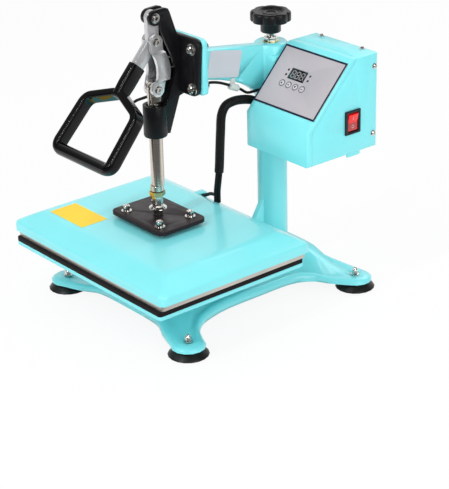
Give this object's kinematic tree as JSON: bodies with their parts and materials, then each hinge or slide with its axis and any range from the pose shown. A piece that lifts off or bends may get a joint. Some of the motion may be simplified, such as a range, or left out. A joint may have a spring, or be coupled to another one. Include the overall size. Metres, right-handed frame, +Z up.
{
  "type": "heat press",
  "caption": "Swing-away heat press: a toggle lever with a loop handle closes a heated platen over a padded bed, on an arm that turns on a post above a cast base and carries a control box.",
  "frame": {"origin": "on the floor under the middle of the machine's length and width, 70.4 mm behind the centre of the padded bed", "axes": "+X is the operator's right, +Y points away from the operator towards the post, +Z is up"},
  "size_m": [0.31, 0.3666, 0.393],
  "materials": {
    "turquoise_paint": "gloss powder coat",
    "black_paint": "satin powder coat, slightly textured",
    "vinyl": "gloss dipped vinyl and moulded plastic",
    "black_rubber": "matt rubber and nylon",
    "silicone": "matt sponge silicone",
    "cast_alloy": "satin, tumbled casting",
    "bright_steel": "bright plated",
    "platen_aluminium": "machined",
    "panel_grey": "printed membrane",
    "smoked": "smoked window",
    "signal_red": "translucent red",
    "key_grey": "matt",
    "nylon_white": "natural nylon"
  },
  "bodies": {
    "base": {"base_casting": "turquoise_paint", "foot_front_right": "black_rubber", "foot_front_left": "black_rubber", "foot_rear_right": "black_rubber", "foot_rear_left": "black_rubber", "foot_bolt_front_right": "bright_steel", "foot_bolt_front_left": "bright_steel", "foot_bolt_rear_right": "bright_steel", "foot_bolt_rear_left": "bright_steel", "post_tube": "turquoise_paint", "pivot_shaft": "bright_steel", "lower_plate": "turquoise_paint", "silicone_pad": "silicone"},
    "turret": {"thrust_bearing": "bright_steel"},
    "knob": {"pressure_knob": "vinyl", "pressure_spindle": "bright_steel"},
    "arm": {"swing_arm": "turquoise_paint", "spindle_nut": "bright_steel", "toggle_bracket": "black_paint", "bracket_bolt_1": "bright_steel", "bracket_bolt_2": "bright_steel", "bracket_bolt_3": "bright_steel", "bracket_bolt_4": "bright_steel", "lever_pivot_pin": "bright_steel", "control_box_front": "turquoise_paint", "control_box_housing": "turquoise_paint", "control_box_back": "turquoise_paint", "control_overlay": "panel_grey", "display_window": "smoked", "switch_housing": "black_rubber", "heater_gland": "black_rubber", "power_gland": "black_rubber", "cable_clip": "nylon_white", "sensor_cable": "black_rubber", "lever_switch": "black_rubber", "heater_cable": "black_rubber"},
    "key_up": {"key_1": "key_grey"},
    "key_cycle": {"key_2": "key_grey"},
    "key_down": {"key_3": "key_grey"},
    "key_set": {"key_4": "key_grey"},
    "rocker": {"switch_rocker": "signal_red"},
    "lever": {"lever_bar": "cast_alloy", "handle_grip": "vinyl", "link_pin_upper": "bright_steel"},
    "links": {"link_right": "cast_alloy", "link_left": "cast_alloy"},
    "platen": {"plunger_rod": "bright_steel", "link_pin_lower": "bright_steel", "lock_nut": "bright_steel", "adjusting_stud": "bright_steel", "mounting_plate": "black_paint", "plate_bolt_1": "bright_steel", "plate_bolt_2": "bright_steel", "plate_bolt_3": "bright_steel", "plate_bolt_4": "bright_steel", "platen_cover": "turquoise_paint", "heating_platen": "platen_aluminium"}
  },
  "joints": [
    {"name": "arm_swing", "type": "hinge", "parent": "base", "child": "turret", "pos_m": [0, 0.1236, 0.29], "axis": [0, 0, 1], "range_deg": [-180, 180]},
    {"name": "knob_turn", "type": "hinge", "parent": "turret", "child": "knob", "pos_m": [0, 0.1236, 0.33], "axis": [0, 0, -1], "range_deg": [0, 1080]},
    {"name": "arm_lift", "type": "slide", "parent": "turret", "child": "arm", "axis": [0, 0, 1], "range_m": [0, 0.0045]},
    {"name": "lever_swing", "type": "hinge", "parent": "arm", "child": "lever", "pos_m": [0, -0.0654, 0.383], "axis": [-1, 0, 0], "range_deg": [0, 65], "deforming": ["heater_cable"]},
    {"name": "link_fold", "type": "hinge", "parent": "lever", "child": "links", "pos_m": [0, -0.0654, 0.3535], "axis": [-1, 0, 0], "range_deg": [-92.56, 0]},
    {"name": "platen_rise", "type": "hinge", "parent": "links", "child": "platen", "pos_m": [0, -0.0654, 0.2935], "axis": [-1, 0, 0], "range_deg": [0, 27.56]},
    {"name": "rocker_tilt", "type": "hinge", "parent": "arm", "child": "rocker", "pos_m": [0.139, 0.1314, 0.2386], "axis": [0, -1, 0], "range_deg": [0, 11]},
    {"name": "key_up_press", "type": "slide", "parent": "arm", "child": "key_up", "axis": [0, 0.7285, -0.685], "range_m": [0, 0.0005], "stiffness_N_per_m": 300},
    {"name": "key_cycle_press", "type": "slide", "parent": "arm", "child": "key_cycle", "axis": [0, 0.7285, -0.685], "range_m": [0, 0.0005], "stiffness_N_per_m": 300},
    {"name": "key_down_press", "type": "slide", "parent": "arm", "child": "key_down", "axis": [0, 0.7285, -0.685], "range_m": [0, 0.0005], "stiffness_N_per_m": 300},
    {"name": "key_set_press", "type": "slide", "parent": "arm", "child": "key_set", "axis": [0, 0.7285, -0.685], "range_m": [0, 0.0005], "stiffness_N_per_m": 300}
  ],
  "couplings": [
    {"joint": "knob_turn", "follows": "arm_lift", "rad_per_m": 4188.8},
    {"joint": "link_fold", "follows": "lever_swing", "ratio": -1.424},
    {"joint": "platen_rise", "follows": "lever_swing", "ratio": 0.424}
  ]
}
